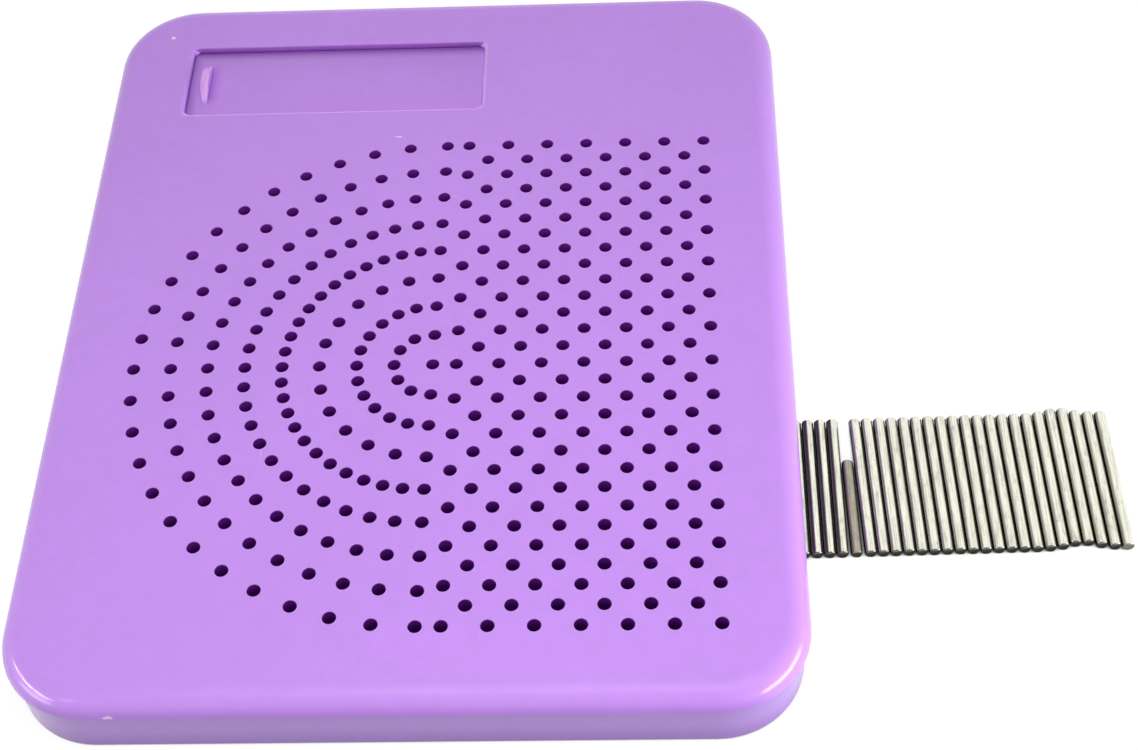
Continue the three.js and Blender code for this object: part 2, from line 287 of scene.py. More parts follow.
cover = {
    "edgeRun": 4.2,
    "edgeDrop": 4.6,
    "rimDrop": 3.4,
    "edgeSegments": 16,
    "edgeFullness": 2.4,
    "rimInset": 0.15,
    "skirt": 2.2,
    "plate": 2.0,
    "rimRound": 0.12,
    "rebateInset": 1.6,
    "rebateTop": 10.6,
    "bedBottom": 3.7,
    "socketBottom": 4.9,
    "socketRadius": 1.075,
    "socketRound": 0.14,
    "socketSides": 16,
    "lip": 0.95,
    "lipRound": 0.9,
    "windowX": (-46.62, 7.48),
    "windowY": (45.93, 62.58),
    "windowCorner": 1.2,
    "windowDepth": 3,
    "trackX": (-48.37, 54.35),
    "trackY": (44.18, 64.33),
    "railTop": 9.95,
    "screwX": 40.75,
    "screwY": 69.2,
    "bossRadius": 2.6,
    "pilotRadius": 1.4,
    "pilotTop": 10.1,
}

lid = {
    "x": (-48.12, 8.98),
    "y": (44.43, 64.08),
    "z": (10.2, 11.7),
    "corner": 1.5,
    "edgeRound": 0.2,
    "finX": (-44.47, -42.97),
    "finLength": 10.2,
    "finHeight": 2.05,
    "finBow": 0.45,
    "finRound": 0.28,
    "finSunk": 0.3,
    "finSides": 160,
}


# what the two finishes turn to where they are dusty or stained, and the steel's painted shade low
# on its sides and on its left flank
dustColour = (0.86, 0.72, 0.98)
steelStainsAndShade = {
    "dull": (0.16, 0.15, 0.12),
    "ends": (0.06, 0.065, 0.045),
    "flank": (0.07, 0.066, 0.06),
    "lowShade": (0.012, 0.012, 0.008),
    "lowShadeFrom": (1.3, 1.58),
}


# moulded plastic: cloudy colour, fine grain, faint scuffs and a few specks of dust
def mouldedGroup():
    group, given, result = newGroup(
        "mouldedPlastic",
        [("Colour", "colour"), ("Roughness", "value"), ("Grain", "value"), ("Wear", "value")],
        [("Colour", "colour"), ("Roughness", "value"), ("Normal", "vector")],
    )
    place = objectPlace(group)
    cloud = noise(group, place, 38, 3)
    mottle = noise(group, place, 420, 3, 0.6)
    tone = math2(group, "ADD", spread(group, cloud, 0.3, 0.7, 0.985, 1.015),
                 spread(group, mottle, 0.3, 0.7, -0.014, 0.014))
    colour = mixColour(group, 1.0, given["Colour"], tone, "MULTIPLY")

    # scuffs: thin short strokes, broken up by a wide noise
    strokes = noise(group, scaled(group, place, 1500, 130, 130), 1, 1)
    crossing = noise(group, scaled(group, place, 110, 1300, 130), 1, 1)
    rare = spread(group, noise(group, place, 60, 1), 0.62, 0.72)
    scuff = product(group, rare, math2(
        group, "MAXIMUM", spread(group, strokes, 0.76, 0.82), spread(group, crossing, 0.76, 0.82)
    ), given["Wear"])

    # specks: one cell in many holds a grain of light dust
    cells = addNode(group, "TexVoronoi", Vector=place, Scale=170.0)
    dot = spread(group, cells.outputs["Distance"], 0.02, 0.05, 1.0, 0.0)
    chosen = addNode(group, "SeparateColor", Color=cells.outputs["Color"]).outputs[0]
    speck = product(group, dot, spread(group, chosen, 0.975, 0.985), given["Wear"])
    light = math2(group, "ADD", math2(group, "MULTIPLY", scuff, 0.14),
                  math2(group, "MULTIPLY", speck, 0.3), True)
    group.links.new(mixColour(group, light, colour, (*dustColour, 1)), result["Colour"])

    fine = noise(group, place, 2600, 2, 0.6)
    rough = math2(group, "ADD", given["Roughness"], spread(group, mottle, 0.3, 0.7, -0.03, 0.04))
    rough = math2(group, "ADD", rough, math2(group, "MULTIPLY", scuff, 0.2), True)
    group.links.new(rough, result["Roughness"])

    peel = noise(group, place, 420, 2)
    height = math2(group, "ADD", math2(group, "MULTIPLY", fine, 0.35),
                   math2(group, "MULTIPLY", peel, 0.65))
    height = math2(group, "SUBTRACT", height, math2(group, "MULTIPLY", scuff, 0.8))
    bump = addNode(group, "Bump", Strength=given["Grain"], Distance=0.00006, Height=height)
    group.links.new(bump.outputs[0], result["Normal"])
    return group


# a mark in the moulding at one place, such as a nick: a ragged spot
def nickGroup():
    group, given, result = newGroup(
        "nick",
        [("Place", "vector"), ("Stretch", "vector"), ("Size", "value")],
        [("Mask", "value")],
    )
    place = objectPlace(group)
    ragged = addNode(group, "TexNoise", Vector=place, Scale=1400.0, Detail=2.0).outputs["Color"]
    centred = vectorMath(group, "SUBTRACT", ragged, (0.5, 0.5, 0.5))
    jitter = addNode(group, "VectorMath", {"operation": "SCALE"}, i0=centred, Scale=0.0009)
    moved = vectorMath(group, "ADD", vectorMath(group, "SUBTRACT", place, given["Place"]),
                       jitter.outputs[0])
    shaped = vectorMath(group, "MULTIPLY", moved, given["Stretch"])
    length = addNode(group, "VectorMath", {"operation": "LENGTH"}, i0=shaped)
    ratio = math2(group, "DIVIDE", length.outputs["Value"], given["Size"])
    group.links.new(spread(group, ratio, 0.75, 1.1, 1.0, 0.0), result["Mask"])
    return group


# drawn steel wire lying along Y: fine streaks, dull blotches, painted shade low on its sides, a
# painted dark reflection on its left flank, and dark sheared ends
def wireGroup():
    group, given, result = newGroup(
        "drawnWire",
        [("Colour", "colour"), ("Roughness", "value"), ("Streaks", "value"), ("Blotches", "value"),
         ("Grime", "value"), ("Ends", "value"), ("Flank", "value"), ("FlankFrom", "value")],
        [("Colour", "colour"), ("Roughness", "value"), ("Normal", "vector")],
    )
    place = objectPlace(group)
    streak = noise(group, scaled(group, place, 5200, 160, 5200), 1, 3, 0.65)
    blotch = noise(group, scaled(group, place, 900, 420, 900), 1, 4, 0.7)
    pit = noise(group, scaled(group, place, 2600, 1500, 2600), 1, 2)
    dark = product(group, spread(group, streak, 0.42, 0.68), given["Streaks"])
    dull = product(group, spread(group, blotch, 0.5, 0.72), given["Blotches"])
    pits = product(group, spread(group, pit, 0.68, 0.78), given["Blotches"])
    shade = math2(group, "ADD", math2(group, "MULTIPLY", dark, 0.5),
                  math2(group, "MULTIPLY", dull, 0.45), True)
    shade = math2(group, "ADD", shade, math2(group, "MULTIPLY", pits, 0.5), True)
    stained = mixColour(group, shade, given["Colour"], (*steelStainsAndShade["dull"], 1))
    low = addNode(group, "SeparateXYZ", Vector=place).outputs[2]
    # painted shade: the wire is darkened on its lower part
    lowShade = product(group, fade(group, low, *steelStainsAndShade["lowShadeFrom"]), given["Grime"])
    facing = addNode(group, "SeparateXYZ", Vector=addNode(group, "NewGeometry").outputs["Normal"])
    endOn = addNode(group, "Math", {"operation": "ABSOLUTE"}, i0=facing.outputs[1]).outputs[0]
    ends = product(group, spread(group, endOn, 0.2, 0.6), given["Ends"])
    stained = mixColour(group, ends, stained, (*steelStainsAndShade["ends"], 1))
    # painted reflection: the flank that faces left (-X) is darkened as a dark reflection
    leftward = math2(group, "MULTIPLY", facing.outputs[0], -1.0)
    flank = spread(group, math2(group, "SUBTRACT", leftward, given["FlankFrom"]), 0.0, 0.32)
    stained = mixColour(group, product(group, flank, given["Flank"]), stained,
                        (*steelStainsAndShade["flank"], 1))
    stained = mixColour(group, lowShade, stained, (*steelStainsAndShade["lowShade"], 1))
    group.links.new(stained, result["Colour"])
    rough = math2(group, "ADD", given["Roughness"], math2(group, "MULTIPLY", shade, 0.3), True)
    group.links.new(rough, result["Roughness"])
    height = math2(group, "SUBTRACT", streak, math2(group, "MULTIPLY", pits, 1.5))
    bump = addNode(group, "Bump", Strength=0.5, Distance=0.00003, Height=height)
    group.links.new(bump.outputs[0], result["Normal"])
    return group


moulded = mouldedGroup()
nick = nickGroup()
wire = wireGroup()


def newMaterial(name):
    material = bpy.data.materials.new(name)
    material.use_nodes = True
    tree = material.node_tree
    return material, tree, tree.nodes["Principled BSDF"]


def dress(tree, shader, finish, colour):
    tree.links.new(colour, shader.inputs["Base Color"])
    tree.links.new(finish["Roughness"], shader.inputs["Roughness"])
    tree.links.new(finish["Normal"], shader.inputs["Normal"])


# colours from 0 to 255, the tints that they are multiplied by, and levels and places in mm
plasticLook = {
    "cover": {"colour": (200, 145, 242), "roughness": 0.19, "grain": 0.16, "wear": 1.0,
              "frontRimShade": (0.79, 0.68, 0.85), "rimFrom": (9.6, 12.0), "rimReach": (-74.4, -71.4)},
    # the tray's colour is greyer and darker than the cover's: partly its own moulding, partly
    # painted shade on its side walls
    "tray": {"colour": (171, 128, 213), "roughness": 0.22, "grain": 0.16, "wear": 0.6,
             "foot": (0.72, 0.62, 0.77), "footTop": 6.0},
    "lid": {"colour": (199, 143, 240), "roughness": 0.22, "grain": 0.16, "wear": 0.8},
}

# the sockets darken with their depth: levels in mm, and the part of the top they are in
socketShade = {
    "top": 12.85,
    "mouth": 0.25,
    "deep": 10.4,
    "xRange": (-54, 54),
    "yRange": (-68, 43),
    "colour": (0.3, 0.035, 0.52),
    "deepColour": (0.09, 0.003, 0.19),
}

# light nicks in the moulding: place and size in mm, and how each is stretched
nickColour = (1.0, 0.8, 1.0)
nickMarks = [
    {"place": (-42.55, -74.9, 9.9), "size": 0.42, "stretch": (0.55, 1.0, 1.2)},
    {"place": (-51.2, 65.9, 12.9), "size": 0.34, "stretch": (0.7, 1.1, 1.0)},
    {"place": (-6.9, 38.8, 12.9), "size": 0.26, "stretch": (0.4, 1.4, 1.0)},
]


def shadeSockets(tree, colour):
    place = coordinates(tree)
    top = socketShade["top"]
    under = fade(tree, place[2], top - socketShade["mouth"], top)
    depth = fade(tree, place[2], socketShade["deep"], top)
    inside = product(tree, between(tree, place[0], *socketShade["xRange"]),
                     between(tree, place[1], *socketShade["yRange"]), under)
    shade = mixColour(tree, depth, (*socketShade["colour"], 1), (*socketShade["deepColour"], 1))
    return mixColour(tree, inside, colour, shade)


# painted shade and painted highlights in the window's recess. The colour is multiplied by the
# tints of the wall and the lid where they are darkest, as painted shade, and turns to the
# highlight colours on the front and right edges and on the fin's top, as painted highlights.
# Fades are in mm, those of walls and edges measured down from the top
recessGrime = {
    "wall": (0.41, 0.215, 0.45),
    "backFade": (0.3, 0.01),
    "leftFade": (0.85, 0.14),
    "lid": (0.5, 0.37, 0.56),
    "lidReach": 2.6,
    "leftReach": 2.08,
    "leftShare": 0.75,
    "finReach": 2.4,
    "finAlong": (3.0, 5.8),
    "finShare": 0.65,
    "edgeHighlight": (0.88, 0.49, 1.0),
    "edgeFade": (0.6, 0.3),
    "edgeMost": 0.85,
    "edgeUpper": (0.05, 0.005),
    "rightShare": 0.5,
    "finHighlight": (0.85, 0.46, 0.93),
    "finHighlightFrom": (0.25, 0.7),
    "finHighlightShares": (0.3, 0.75),
}


# painted shade on the walls at the window's back and left, with a painted highlight on its front
# and right edges
def shadeAndHighlightOnWalls(tree, colour):
    place = coordinates(tree)
    (x0, x1), (y0, y1) = cover["windowX"], cover["windowY"]
    top, wide, thin = board["height"], cover["lipRound"] + 0.2, 0.1
    inX = between(tree, place[0], x0 - wide, x1 + 0.3)
    inY = between(tree, place[1], y0 - 0.3, y1 + wide)

    def below(levels, *shares):
        return fade(tree, place[2], top - levels[0], top - levels[1], *shares)

    # painted shade: the back and left walls darken below the top edge
    back = product(tree, between(tree, place[1], y1 - thin, y1 + wide), inX,
                   below(recessGrime["backFade"]))
    left = product(tree, between(tree, place[0], x0 - wide, x0 + thin), inY,
                   below(recessGrime["leftFade"]))
    colour = multiplied(tree, colour, math2(tree, "MAXIMUM", back, left), recessGrime["wall"])
    # painted highlight: the front and right edges turn lighter just below the top
    front = product(tree, between(tree, place[1], y0 - wide, y0 + thin), inX)
    right = product(tree, between(tree, place[0], x1 - thin, x1 + wide), inY,
                    recessGrime["rightShare"])
    highlitEdges = product(tree, math2(tree, "MAXIMUM", front, right),
                   below(recessGrime["edgeFade"], 0.0, recessGrime["edgeMost"]),
                   below(recessGrime["edgeUpper"]))
    return mixColour(tree, highlitEdges, colour, (*recessGrime["edgeHighlight"], 1))


# painted shadow on the lid along the same walls and beside its fin, with a painted highlight on
# the fin's top, broken up by noise
def shadeAndHighlightOnLid(tree, colour):
    place = coordinates(tree)
    x0, (y0, y1) = cover["windowX"][0], cover["windowY"]
    # painted shadow: the lid darkens along the back and left walls and beside the fin's right side
    back = fade(tree, place[1], y1 - recessGrime["lidReach"], y1 + 0.3, 0.0, 1.0)
    left = product(tree, fade(tree, place[0], x0, x0 + recessGrime["leftReach"]),
                   recessGrime["leftShare"])
    finSide, level = lid["finX"][1], lid["z"][1]
    fromMiddle = math2(tree, "SUBTRACT", place[1], (y0 + y1) / 2 * mm)
    along = addNode(tree, "Math", {"operation": "ABSOLUTE"}, i0=fromMiddle).outputs[0]
    beside = product(
        tree, fade(tree, place[0], finSide, finSide + recessGrime["finReach"]),
        math2(tree, "GREATER_THAN", place[0], (finSide - 0.05) * mm),
        fade(tree, along, *recessGrime["finAlong"], recessGrime["finShare"], 0.0),
    )
    # painted highlight: the fin's top turns lighter, in patches
    high = fade(tree, place[2], *(level + rise for rise in recessGrime["finHighlightFrom"]), 0.0, 1.0)
    highlightPatches = spread(tree, noise(tree, scaled(tree, objectPlace(tree), 2600, 300, 300), 1),
                 0.35, 0.6, *recessGrime["finHighlightShares"])
    colour = mixColour(tree, product(tree, high, highlightPatches), colour, (*recessGrime["finHighlight"], 1))
    low = math2(tree, "LESS_THAN", place[2], (level + 0.3) * mm)
    most = math2(tree, "MAXIMUM", math2(tree, "MAXIMUM", back, left), beside)
    return multiplied(tree, colour, product(tree, most, low), recessGrime["lid"])


# painted shade: the front of the rounded edge is darker towards the crease
def darkenRim(tree, colour, look):
    place = coordinates(tree)
    rim = product(tree, fade(tree, place[2], *look["rimFrom"]),
                  fade(tree, place[1], *look["rimReach"]))
    return multiplied(tree, colour, rim, look["frontRimShade"])


def plastic(name):
    look = plasticLook[name]
    material, tree, shader = newMaterial(name + "Plastic")
    finish = placeGroup(
        tree, moulded, Colour=colourOf(*look["colour"]), Roughness=look["roughness"],
        Grain=look["grain"], Wear=look["wear"],
    )
    colour = finish["Colour"]
    if name == "cover":
        for mark in nickMarks:
            mask = placeGroup(
                tree, nick, Place=[v * mm for v in mark["place"]], Stretch=mark["stretch"],
                Size=mark["size"] * mm,
            )["Mask"]
            colour = mixColour(tree, mask, colour, (*nickColour, 1))
        colour = darkenRim(tree, shadeAndHighlightOnWalls(tree, shadeSockets(tree, colour)), look)
    elif name == "lid":
        colour = shadeAndHighlightOnLid(tree, colour)
    else:
        # painted shade: the tray is darker towards the bottom
        foot = fade(tree, coordinates(tree)[2], 0.0, look["footTop"])
        colour = multiplied(tree, colour, foot, look["foot"])
    dress(tree, shader, finish, colour)
    shader.inputs["IOR"].default_value = 1.5
    return material


coverPlastic = plastic("cover")
trayPlastic = plastic("tray")
lidPlastic = plastic("lid")

# wallPin and outerPin are copies of pin with their painted shade set for where they lie: a darker,
# wider left flank by the wall, less shade low on the outer pin
steelLook = {
    "pin": {"colour": (0.97, 0.965, 0.83), "roughness": 0.2, "streaks": 0.85, "blotches": 0.6,
            "lowShade": 0.97, "ends": 0.88, "flank": 0.65, "flankFrom": 0.35},
    "wallPin": {"colour": (0.97, 0.965, 0.83), "roughness": 0.2, "streaks": 0.85, "blotches": 0.6,
                "lowShade": 0.97, "ends": 0.9, "flank": 0.95, "flankFrom": 0.06},
    "outerPin": {"colour": (0.97, 0.965, 0.83), "roughness": 0.2, "streaks": 0.85, "blotches": 0.6,
                 "lowShade": 0.3, "ends": 0.8, "flank": 0.75, "flankFrom": 0.33},
    "dullPin": {"colour": (0.5, 0.46, 0.36), "roughness": 0.4, "streaks": 0.75, "blotches": 0.85,
                "lowShade": 0.95, "ends": 0.5, "flank": 0.7, "flankFrom": 0.4},
    "screw": {"colour": (0.62, 0.63, 0.64), "roughness": 0.3, "streaks": 0.3, "blotches": 0.4,
              "lowShade": 0.0, "ends": 0.0, "flank": 0.0, "flankFrom": 0.5},
}


def steel(name):
    look = steelLook[name]
    material, tree, shader = newMaterial(name + "Steel")
    finish = placeGroup(
        tree, wire, Colour=(*look["colour"], 1), Roughness=look["roughness"],
        Streaks=look["streaks"], Blotches=look["blotches"], Grime=look["lowShade"],
        Ends=look["ends"], Flank=look["flank"], FlankFrom=look["flankFrom"],
    )
    dress(tree, shader, finish, finish["Colour"])
    shader.inputs["Metallic"].default_value = 1.0
    return material


pinSteel = steel("pin")
wallPinSteel = steel("wallPin")
outerPinSteel = steel("outerPin")
dullPinSteel = steel("dullPin")
screwSteel = steel("screw")
print("materials made")


def finishPiece(item, name, material, body, nodes):
    item.name = name
    item.data.name = name
    item.data.materials.clear()
    item.data.materials.append(material)
    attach(item, body)
    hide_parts(*nodes)


# where the sockets are: semicircles whose steps double, and a staggered grid
sockets = {
    "ringPitch": 6.125,
    "rings": 8,
    "firstSteps": 6,
    "mostSteps": 24,
    "endShift": 0.19,
    "centreX": 1.8,
    "centreY": -12.795,
    "gridX": 5.85,
    "rowPitch": 7.0,
    "columnPitch": 6.91,
    "rows": 15,
    "columns": 7,
    "bedMargin": 2.0,
}


def outline(inset):
    halfWidth = board["width"] / 2 - inset
    halfLength = board["length"] / 2 - inset
    return (-halfWidth, halfWidth), (-halfLength, halfLength), board["corner"] - inset


def outlineFace(name, inset, z):
    xRange, yRange, corner = outline(inset)
    return roundedFace(name, xRange, yRange, z, corner, board["cornerSegments"])


# the rounded edge, a little fuller than an ellipse, as (inset, z) pairs from the rim up
def edgeLevels(skin, plate, count):
    power = 2 / cover["edgeFullness"]
    run = cover["edgeRun"] - cover["rimInset"] - skin
    drop = cover["edgeDrop"] - plate
    last = math.acos(((cover["edgeDrop"] - cover["rimDrop"]) / drop) ** (1 / power))
    levels = []
    for step in range(count, -1, -1):
        angle = last * step / count
        inset = cover["edgeRun"] - run * (math.sin(angle) / math.sin(last)) ** power
        rise = drop * math.cos(angle) ** power
        levels.append((inset, board["height"] - cover["edgeDrop"] + rise))
    return levels


def socketCentres():
    s = sockets
    centres = [(s["centreX"] + s["endShift"], s["centreY"])]
    for ring in range(1, s["rings"] + 1):
        radius = ring * s["ringPitch"]
        steps = min(s["mostSteps"], s["firstSteps"] * 2 ** int(math.log2(ring)))
        for step in range(steps + 1):
            angle = math.pi / 2 + math.pi * step / steps
            shift = s["endShift"] if step in (0, steps) else 0
            centres.append((
                s["centreX"] + shift + radius * math.cos(angle),
                s["centreY"] + radius * math.sin(angle),
            ))
    firstRow = s["centreY"] - s["rowPitch"] * (s["rows"] - 1) / 2
    for row in range(s["rows"]):
        for column in range(s["columns"]):
            x = s["gridX"] + column * s["columnPitch"]
            y = firstRow + row * s["rowPitch"]
            centres.append((x, y))
            if row < s["rows"] - 1 and column < s["columns"] - 1:
                centres.append((x + s["columnPitch"] / 2, y + s["rowPitch"] / 2))
    return centres


# a sunk cutter that flares to a rounded upper edge
def flaredLevels(flare, bottom, segments):
    top = board["height"]
    levels = [(0, top + overcut / 2)]
    for step in range(segments + 1):
        angle = math.pi / 2 * (1 - step / segments)
        levels.append((flare * math.cos(angle), top - flare + flare * math.sin(angle)))
    return levels + [(flare, bottom)]


def screwPlaces():
    return [(x, y) for x in (-cover["screwX"], cover["screwX"])
            for y in (-cover["screwY"], cover["screwY"])]


def makeCover():
    levels = edgeLevels(0, 0, cover["edgeSegments"])
    body = outlineFace("cover", *levels[0])
    buildLevels(body, levels)
    mesh = startEditing(body, "EDGE")
    rim = levels[0][1]
    pick(body, mesh.edges, lambda e: all(abs(v.co.z - rim * mm) < 1e-6 for v in e.verts))
    bpy.ops.mesh.bevel(offset=cover["rimRound"] * mm, segments=3, affect="EDGES")
    stopEditing()

    inner = edgeLevels(cover["skirt"], cover["plate"], cover["edgeSegments"] // 2)
    start = (inner[0][0], inner[0][1] - overcut)
    hollow = outlineFace("hollow", *start)
    buildLevels(hollow, [start] + inner)
    combine(body, hollow, "DIFFERENCE")

    rebate = outlineFace("rebate", cover["rebateInset"], rim - overcut)
    buildLevels(rebate, [(0, rim - overcut), (0, cover["rebateTop"])])
    combine(body, rebate, "DIFFERENCE")

    # the bed: a half disc drawn out to the right
    reach = sockets["rings"] * sockets["ringPitch"] + cover["socketRadius"] + sockets["bedMargin"]
    right = (sockets["gridX"] + (sockets["columns"] - 1) * sockets["columnPitch"]
             + cover["socketRadius"] + sockets["bedMargin"])
    inPlate = (cover["bedBottom"], board["height"] - cover["plate"] / 2)
    bed = rod("bed", sockets["centreX"], sockets["centreY"], inPlate, reach, 96)
    startEditing(bed, everything=True)
    bpy.ops.mesh.bisect(
        plane_co=(sockets["centreX"] * mm, 0, 0), plane_no=(1, 0, 0),
        use_fill=True, clear_outer=True,
    )
    extrude(x=right - sockets["centreX"])
    stopEditing()
    closeUp(bed)
    posts = [rod("post", x, y, inPlate, cover["bossRadius"], 32) for x, y in screwPlaces()]
    combine(body, joinAll([bed] + posts), "UNION")

    combine(body, block("track", cover["trackX"], cover["trackY"],
                        (cover["railTop"], board["height"] - cover["lip"])), "DIFFERENCE")

    flare = cover["lipRound"]
    (x0, x1), (y0, y1) = cover["windowX"], cover["windowY"]
    window = roundedFace(
        "window", (x0 - flare, x1 + flare), (y0 - flare, y1 + flare),
        board["height"] + overcut / 2, cover["windowCorner"] + flare, 8, facingDown=True,
    )
    buildLevels(window, flaredLevels(flare, board["height"] - cover["windowDepth"], 6))
    combine(body, window, "DIFFERENCE")

    bpy.ops.mesh.primitive_circle_add(
        vertices=cover["socketSides"], radius=(cover["socketRadius"] + cover["socketRound"]) * mm,
        fill_type="NGON", location=(0, 0, (board["height"] + overcut / 2) * mm),
    )
    socket = bpy.context.object
    applyPlace(socket)
    startEditing(socket, everything=True)
    bpy.ops.mesh.flip_normals()
    stopEditing()
    buildLevels(socket, flaredLevels(cover["socketRound"], cover["socketBottom"], 2))
    cutters = [copyOf(socket, "socket", x, y) for x, y in socketCentres()]
    bpy.data.objects.remove(socket, do_unlink=True)
    pilot = (cover["bedBottom"] - overcut, cover["pilotTop"])
    cutters += [rod("pilot", x, y, pilot, cover["pilotRadius"], 24) for x, y in screwPlaces()]
    combine(body, joinAll(cutters), "DIFFERENCE")
    shadeWell(body)
    return body


coverPiece = makeCover()
finishPiece(coverPiece, "cover", coverPlastic, "board", ["top_shell"])
print("cover made:", len(coverPiece.data.polygons), "faces")

tray = {
    "inset": 0.8,
    "wall": 2.0,
    "floor": 2.0,
    "top": 9.2,
    "footRound": 0.5,
    "tongue": 0.9,
    "tongueHeight": 1.1,
    "rail": 1.6,
    "tubFloor": 2.05,
    "padRadius": 4.3,
    "padTop": 3.4,
    "headRadius": 2.6,
    "headRecess": 1.8,
    "shankRadius": 1.4,
}


def makeTray():
    body = outlineFace("tray", tray["inset"], 0)
    buildLevels(body, [(0, 0), (0, tray["top"])])
    mesh = startEditing(body, "EDGE")
    pick(body, mesh.edges, lambda e: all(v.co.z < 1e-6 for v in e.verts))
    bpy.ops.mesh.bevel(offset=tray["footRound"] * mm, segments=4, affect="EDGES")
    bpy.ops.mesh.select_all(action="DESELECT")
    bpy.ops.mesh.select_mode(type="FACE")
    mesh = bmesh.from_edit_mesh(body.data)
    pick(body, mesh.faces, lambda f: f.normal.z > 0.9)
    bpy.ops.mesh.inset(thickness=(tray["wall"] - tray["tongue"]) * mm)
    extrude(z=tray["tongueHeight"])
    bpy.ops.mesh.inset(thickness=tray["tongue"] * mm)
    extrude(z=tray["floor"] - tray["top"] - tray["tongueHeight"])
    stopEditing()

    # the storage compartment is a tub that stands on the floor, with two rails to its right
    (x0, x1), (y0, y1) = cover["windowX"], cover["windowY"]
    rail = tray["rail"]
    upToRails = (tray["floor"] / 2, cover["railTop"])
    tub = block("tub", (x0 - rail, x1 + rail), (y0 - rail, y1 + rail), upToRails)
    mesh = startEditing(tub)
    pick(tub, mesh.faces, lambda f: f.normal.z > 0.9)
    bpy.ops.mesh.inset(thickness=rail * mm)
    extrude(z=tray["tubFloor"] - cover["railTop"])
    stopEditing()
    combine(body, tub, "UNION")
    for y in (y0 - rail, y1):
        bar = block("rail", (x1 + rail / 2, cover["trackX"][1]), (y, y + rail), upToRails)
        combine(body, bar, "UNION")

    for x, y in screwPlaces():
        pad = rod("pad", x, y, (tray["floor"] / 2, tray["padTop"]), tray["padRadius"], 48)
        combine(body, pad, "UNION")
        recess = rod("recess", x, y, (-overcut, tray["headRecess"]), tray["headRadius"], 48)
        combine(body, recess, "DIFFERENCE")
        hole = rod("hole", x, y, (0, tray["padTop"] + overcut), tray["shankRadius"], 32)
        combine(body, hole, "DIFFERENCE")
    shadeWell(body)
    return body


trayPiece = makeTray()
finishPiece(trayPiece, "tray", trayPlastic, "board", ["bottom_shell"])
print("tray made:", len(trayPiece.data.polygons), "faces")


def makeLid():
    plate = block("lid", lid["x"], lid["y"], lid["z"], lid["corner"], 8)
    mesh = startEditing(plate, "EDGE")
    pick(plate, mesh.edges, lambda e: abs(e.verts[0].co.z - e.verts[1].co.z) < 1e-6)
    bpy.ops.mesh.bevel(offset=lid["edgeRound"] * mm, segments=2, affect="EDGES")
    stopEditing()

    # the fin is a slice of a disc whose lower part is cut away
    half = lid["finLength"] / 2
    radius = (half ** 2 + lid["finHeight"] ** 2) / (2 * lid["finHeight"])
    x0, x1 = lid["finX"]
    middle = (cover["windowY"][0] + cover["windowY"][1]) / 2
    top = lid["z"][1]
    bpy.ops.mesh.primitive_cylinder_add(
        vertices=lid["finSides"], radius=radius * mm, depth=(x1 - x0) * mm,
        location=((x0 + x1) / 2 * mm, middle * mm, (top + lid["finHeight"] - radius) * mm),
        rotation=(0, math.pi / 2, 0),
    )
    fin = bpy.context.object
    applyPlace(fin)
    startEditing(fin, everything=True)
    bpy.ops.mesh.bisect(
        plane_co=(0, 0, (top - lid["finSunk"]) * mm), plane_no=(0, 0, 1),
        use_fill=True, clear_inner=True,
    )
    bpy.ops.mesh.select_all(action="DESELECT")
    bpy.ops.mesh.select_mode(type="EDGE")
    mesh = bmesh.from_edit_mesh(fin.data)
    pick(fin, mesh.edges, lambda e: abs(e.verts[0].co.x - e.verts[1].co.x) < 1e-7
         and min(v.co.z for v in e.verts) > (top - lid["finSunk"] + 0.05) * mm)
    bpy.ops.mesh.bevel(offset=lid["finRound"] * mm, segments=4, affect="EDGES")
    mesh = bmesh.from_edit_mesh(fin.data)
    for vertex in mesh.verts:
        if vertex.co.x < (x0 + x1) / 2 * mm:
            vertex.co.x += lid["finBow"] * mm * ((vertex.co.y / mm - middle) / half) ** 2
    bmesh.update_edit_mesh(fin.data)
    stopEditing()
    combine(plate, fin, "UNION")
    shadeWell(plate)
    return plate


lidPiece = makeLid()
finishPiece(lidPiece, "lid", lidPlastic, "lid", ["storage_lid"])
print("lid made")

pins = {
    "count": 26,
    "short": 5,
    "length": 25.8,
    "radius": 0.963,
    "shortLength": 17.7,
    "shortRadius": 0.915,
    "turn": 1.7,
    "endRound": 0.2,
    "faceInset": 0.22,
    "faceRise": 0.05,
    "askew": 0.08,
    "askewStep": 2.3,
    "askewSlant": 0.6,
    "askewMost": 0.1,
    "sides": 32,
}


# one pin lying along Y round the origin, with rounded ends that are cropped a little askew
def makePin(name, radius, length, askew):
    bpy.ops.mesh.primitive_cylinder_add(
        vertices=pins["sides"], radius=radius * mm, depth=length * mm,
        rotation=(math.pi / 2, 0, 0),
    )
    pin = bpy.context.object
    pin.name = name
    applyPlace(pin)
    mesh = startEditing(pin, "EDGE")
    pick(pin, mesh.edges, lambda e: abs(e.verts[0].co.y - e.verts[1].co.y) < 1e-6)
    bpy.ops.mesh.bevel(offset=pins["endRound"] * mm, segments=3, affect="EDGES")
    bpy.ops.mesh.select_all(action="DESELECT")
    bpy.ops.mesh.select_mode(type="FACE")
    mesh = bmesh.from_edit_mesh(pin.data)
    pick(pin, mesh.faces, lambda f: abs(f.normal.y) > 0.99)
    bpy.ops.mesh.inset(thickness=pins["faceInset"] * mm, depth=-pins["faceRise"] * mm)
    mesh = bmesh.from_edit_mesh(pin.data)
    for vertex in mesh.verts:
        side = 1 if vertex.co.y > 0 else -1
        tilt = askew * (vertex.co.x + pins["askewSlant"] * vertex.co.z)
        vertex.co.y -= side * min(abs(tilt), pins["askewMost"] * mm)
    bmesh.update_edit_mesh(pin.data)
    stopEditing()
    shadeWell(pin, 50)
    return pin


